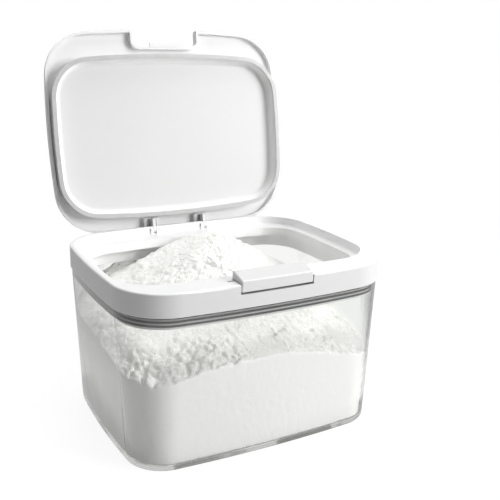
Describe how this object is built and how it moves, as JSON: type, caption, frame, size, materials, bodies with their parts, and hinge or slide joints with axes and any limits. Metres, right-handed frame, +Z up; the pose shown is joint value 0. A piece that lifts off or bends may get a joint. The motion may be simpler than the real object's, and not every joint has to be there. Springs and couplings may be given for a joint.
{
  "type": "laundry detergent storage box",
  "caption": "Clear rectangular tub heaped with washing powder, with a white collar, a sealed flip lid standing open and a press latch at the front.",
  "frame": {"origin": "centre of the base, on the surface that the box stands on", "axes": "+Z up; +X to the box's right as seen from the front; -Y towards the front, where the latch is; the lid's hinges are at +Y"},
  "size_m": [0.229, 0.2211, 0.3131],
  "materials": {
    "tub": "clear, glossy",
    "collar": "satin white",
    "lid": "satin white",
    "seal": "translucent silicone",
    "powder": "loose matte powder",
    "pin": "drawn"
  },
  "bodies": {
    "container": {"container_body": "tub", "detergent_powder": "powder", "body_seal": "seal", "collar_frame": "collar", "hinge_pin_left": "pin", "hinge_pin_right": "pin", "latch_pin": "pin", "latch_spring": "pin"},
    "lid": {"lid_cover": "lid", "lid_liner": "lid", "lid_seal": "seal"},
    "latch": {"latch_button": "lid"}
  },
  "joints": [
    {"name": "lid_hinge", "type": "hinge", "parent": "container", "child": "lid", "pos_m": [0, 0.0896, 0.1378], "axis": [1, 0, 0], "range_deg": [0, 99]},
    {"name": "latch_press", "type": "hinge", "parent": "container", "child": "latch", "pos_m": [0, -0.0814, 0.1384], "axis": [1, 0, 0], "range_deg": [0, 7], "stiffness_Nm_per_rad": 0.05, "springref_deg": -8.59, "deforming": ["latch_spring"]}
  ]
}
